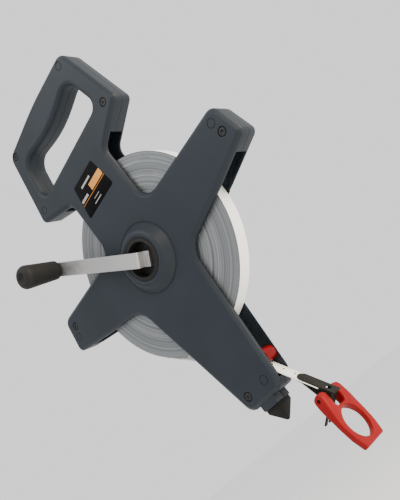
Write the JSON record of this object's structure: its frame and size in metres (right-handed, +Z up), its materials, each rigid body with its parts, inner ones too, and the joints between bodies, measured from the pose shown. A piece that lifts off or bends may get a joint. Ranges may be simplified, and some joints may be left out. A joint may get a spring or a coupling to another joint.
{
  "type": "surveyor tape reel",
  "caption": "Open-frame surveying tape on a hand-cranked reel, with a grip, four-armed frame, ground spike, claw and finger ring.",
  "frame": {"origin": "centre of the hand grip, where a hand holds the reel", "axes": "+Z up from the ground spike to the grip, +X across the arms towards the side where the tape leaves, +Y from the crank side to the back"},
  "size_m": [0.2847, 0.0856, 0.4179],
  "materials": {
    "frame_plastic": "moulded slate grey plastic, fine grain",
    "black_steel": "blackened steel",
    "spike": "black cast metal",
    "label": "printed label, black with an orange band",
    "dark_plastic": "dark moulded plastic",
    "white_plastic": "self-lubricating plastic",
    "steel": "zinc-plated steel",
    "satin_steel": "satin steel strip",
    "tape": "white coated steel tape",
    "tape_pack": "edges of the wound tape",
    "knob_rubber": "black plastic with a satin skin",
    "red_plastic": "red moulded plastic",
    "ring_red": "red moulded plastic",
    "claw": "blackened sheet steel"
  },
  "bodies": {
    "frame": {"front_frame": "frame_plastic", "rear_frame": "frame_plastic", "front_screws": "black_steel", "rear_screws": "black_steel", "ground_spike": "spike", "label_plate": "label", "front_bush": "dark_plastic", "rear_bush": "white_plastic", "rear_hub_cap": "frame_plastic", "roller_pins": "steel", "tape_lead": "tape"},
    "reel": {"drum_core": "dark_plastic", "tape_pack": "tape_pack", "tape_anchor_clip": "steel", "crank_carrier": "dark_plastic", "carrier_screws": "steel", "axle": "steel", "axle_washer": "steel", "axle_screw": "steel", "crank_arm": "satin_steel", "crank_rivets": "satin_steel", "knob_stud": "steel", "knob_retainer": "steel"},
    "knob": {"crank_knob": "knob_rubber", "knob_cap": "knob_rubber"},
    "roller_upper": {"upper_roller": "red_plastic"},
    "roller_lower": {"lower_roller": "red_plastic"},
    "tape_end": {"tape_end_strip": "tape", "claw_body": "claw", "claw_rivets": "steel", "claw_hook": "claw", "ring_pin": "steel"},
    "ring": {"finger_ring": "ring_red"}
  },
  "joints": [
    {"name": "reel_spin", "type": "hinge", "parent": "frame", "child": "reel", "pos_m": [0, 0.0016, -0.18], "axis": [0, 1, 0], "continuous": true},
    {"name": "knob_spin", "type": "hinge", "parent": "reel", "child": "knob", "pos_m": [-0.08561, -0.04, -0.11665], "axis": [0, 1, 0], "continuous": true},
    {"name": "lower_roller_spin", "type": "hinge", "parent": "frame", "child": "roller_lower", "pos_m": [0.0167, 0.0016, -0.3201], "axis": [0, 1, 0], "continuous": true},
    {"name": "upper_roller_spin", "type": "hinge", "parent": "frame", "child": "roller_upper", "pos_m": [0.02358, 0.0016, -0.30581], "axis": [0, 1, 0], "continuous": true},
    {"name": "tape_pull", "type": "slide", "parent": "frame", "child": "tape_end", "axis": [0.5592, 0, -0.829], "range_m": [0, 0.04]},
    {"name": "ring_swing", "type": "hinge", "parent": "tape_end", "child": "ring", "pos_m": [0.0453, 0.0016, -0.3575], "axis": [0, 1, 0], "range_deg": [-110, 15]}
  ],
  "couplings": [
    {"joint": "lower_roller_spin", "follows": "reel_spin", "ratio": -15},
    {"joint": "upper_roller_spin", "follows": "reel_spin", "ratio": 15}
  ]
}
